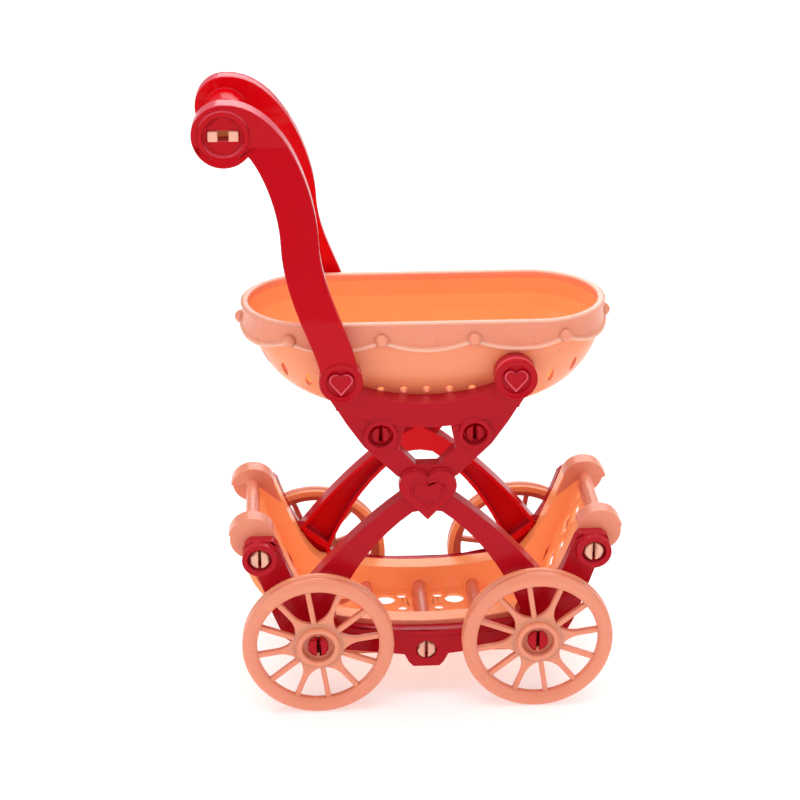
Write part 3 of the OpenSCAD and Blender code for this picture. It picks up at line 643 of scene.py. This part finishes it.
FRAME_Y = 27.0
ARM_Y = 17
SLEEVE_Y = 13
KNOB_RADIUS = 7
BAR_HALF = 13.5
BAR_RADIUS = 5.2
ARM_OUT = 30.4
KNOB_X = 28.7
KNOB_Z = 121.7
GRIP = (FRAME_SHIFT - 64.5, 202.5)


def heart(width, tall, steps=12):
    """A heart's outline, counter-clockwise from its tip, its origin between its lobes."""
    lobe = 0.27 * width
    off = width / 2 - lobe
    tip = tall - lobe
    lean = math.atan2(tip, off) - math.asin(lobe / math.hypot(off, tip))
    angles = np.linspace(lean - math.pi / 2, math.acos(-off / lobe), steps)
    right = [(off + lobe * math.cos(a), lobe * math.sin(a)) for a in angles]
    return [(0, -tip)] + right + [(-x, y) for x, y in reversed(right[:-1])]


def heart_relief(width, tall, height):
    """A raised heart with a ridge round it."""
    profile = [(0, -0.5), (0, height - 0.15), (0.06, height - 0.04), (0.2, height), (0.42, height),
               (0.56, height - 0.04), (0.64, height - 0.14), (0.75, height - 0.25), (0.9, height - 0.25)]
    rows = [np.array([(x, y + 0.1 * inset, z) for x, y in heart(width - 2 * inset, tall - 2.4 * inset)])
            for inset, z in profile]
    # painted highlight over the ridge round the heart, a little painted shade and glow inside it
    ridge = np.repeat([-0.3, -0.9, -0.9, -0.9, -0.7, -0.3, 0.1, 0.2, 0.2], len(rows[0]))
    return with_painted_light(smoothed(woven("heart", rows), 55), ridge)


def knob_button():
    """The face of a knob: a ridge, a flat ring, and a heart in a shallow round recess."""
    profile = [(7.05, -1), (7.05, 0.05), (7, 0.22), (6.85, 0.34), (6.65, 0.38), (6.45, 0.32), (6.3, 0.18),
               (6.2, 0.1), (5.25, 0.1), (5.05, 0.06), (4.92, -0.06), (4.85, -0.3), (4.8, -0.6), (4.6, -0.7),
               (0.01, -0.7)]
    rows = [np.array([(r * math.cos(a), r * math.sin(a), z)
                      for a in np.linspace(0, 2 * math.pi, 64, endpoint=False)]) for r, z in profile]
    # a little painted shade and glow over the knob's face
    face = with_painted_light(smoothed(woven("button", rows), 50), 0.3)
    relief = heart_relief(7.8, 7.6, 0.35)
    relief.data.transform(Matrix.Translation((0, 1 * MM, 0)))
    return joined("button", [face, relief])


def on_side(piece, x, z, y):
    """Stands a piece drawn in XY against the right-hand side, its height outwards."""
    stand = Matrix(((1, 0, 0, x * MM), (0, 0, -1, -y * MM), (0, 1, 0, z * MM), (0, 0, 0, 1)))
    piece.data.transform(stand)
    return piece


def mirrored(piece):
    """The left-hand twin of a right-hand piece."""
    bm = bmesh.new()
    bm.from_mesh(piece.data)
    bmesh.ops.transform(bm, matrix=Matrix.Scale(-1, 4, (0, 1, 0)), verts=bm.verts)
    bmesh.ops.reverse_faces(bm, faces=bm.faces)
    return mesh_object(piece.name + "_left", bm)


def bare(bm, x, z):
    """Takes off the relief of a right-hand knob's face."""
    def on_face(v):
        away = math.hypot(v.co.x - x * MM, v.co.z - z * MM)
        return v.co.y < (0.01 - ARM_OUT) * MM and away < KNOB_RADIUS * MM

    worn = [face for face in bm.faces if all(on_face(v) for v in face.verts)]
    bmesh.ops.delete(bm, geom=worn, context="FACES")


def make_knob_pieces():
    """The heart knobs and the handle's arms, each pair from its right-hand piece."""
    for name, x in (("heart_knob", KNOB_X), ("handle_arm", -KNOB_X)):
        at = x + FRAME_SHIFT
        body = moulded(name + "_right", 0.45, dress=lambda bm: bare(bm, at, KNOB_Z))
        # painted shade and glow on the outer face, inner faces and sides, painted highlight on faces that
        # look up
        light_painted_by_facing(body, 0.5, 1, -0.7, 0.5, ARM_Y)
        right = joined(name, [body, on_side(knob_button(), at, KNOB_Z, ARM_OUT)])
        left = mirrored(right)
        stands_for(right, name + "_right")
        stands_for(left, name + "_left")


def make_grip():
    """The bar inside the grip and the tongues that hold it in the arms' heads."""
    x, z = GRIP
    profile = [(0.01, -BAR_HALF), (BAR_RADIUS, -BAR_HALF), (BAR_RADIUS, BAR_HALF), (0.01, BAR_HALF)]
    bar = smoothed(turned("bar", profile, 48), 50)
    bar.data.transform(Matrix.Translation(Vector((x, 0, z)) * MM) @ Matrix.Rotation(math.pi / 2, 4, "X"))
    # painted shade and glow on the bar inside the heads
    parts = [with_painted_light(bar, 0.8)]
    for a, b in ((-4.85, -1.75), (1.75, 4.85)):
        outline = [(a, -1.65), (b, -1.65), (b, 1.65), (a, 1.65)]
        tongue = on_side(softened(prism("tongue", outline, 12.5, 20.7), 0.35), x, z, 0)
        # painted highlight on the tongues
        parts += [with_painted_light(mirrored(tongue), -0.7), with_painted_light(tongue, -0.7)]
    stands_for(joined("grip", parts), "handle_bar")


# ---------------------------------------------------------------- frames and tray

def points_of(piece):
    found = np.empty(len(piece.data.vertices) * 3, np.float32)
    piece.data.vertices.foreach_get("co", found)
    return found.reshape(-1, 3) / MM


def light_painted_by_facing(piece, outward, inward, upward, sides, face_y):
    """Painted light by the way each face looks: the outward value on the outer face, else inward, upward,
    or the sides value for any other way.
    """
    values = []
    for face in piece.data.polygons:
        out = face.normal.y * math.copysign(1, face.center.y)
        if out > 0.8:
            values.append(outward if abs(face.center.y) > (face_y - 1.5) * MM else inward)
        elif out < -0.3 or abs(face.center.y) < SLEEVE_Y * MM:
            values.append(inward)
        else:
            rise = min(1, max(0, face.normal.z / 0.7 + 0.2))
            values.append(sides + (upward - sides) * rise)
    return faces_with_painted_light(piece, values)


def make_frames():
    """The side frames and braces, with painted shade and glow, deeper in colour, on the faces that look
    inwards and on their sides, and a faint painted highlight on faces that look up.
    """
    for node in ("side_frame_left", "side_frame_right", "cross_brace_front", "cross_brace_rear"):
        stands_for(light_painted_by_facing(moulded(node, 0.4), 0, 1, -0.25, 0.4, FRAME_Y), node)


def make_tray():
    """The tray, with painted shade and glow, deeper in colour, on its inside below the rims, and a painted
    highlight on its outermost faces.
    """
    piece = moulded("tray", 0.4)
    values = []
    for face in piece.data.polygons:
        _, y, z = face.center / MM
        inside = abs(y) < 20.5 and z < 60 and face.normal.y * y < 0.5 * abs(y)
        # painted highlight on the pin heads out past 26 mm, painted shade and glow inside
        values.append(-0.8 if abs(y) > 26 else 0.9 if inside else 0)
    stands_for(faces_with_painted_light(piece, values), "tray")


# ---------------------------------------------------------------- the stroller

set_camera()
set_lights()
make_floor()
PLASTICS = make_plastics()
REPEAT = repeat_tree()
make_wheels()
make_basket()
make_knob_pieces()
make_grip()
make_frames()
make_tray()

bpy.context.scene.view_settings.view_transform = "Standard"
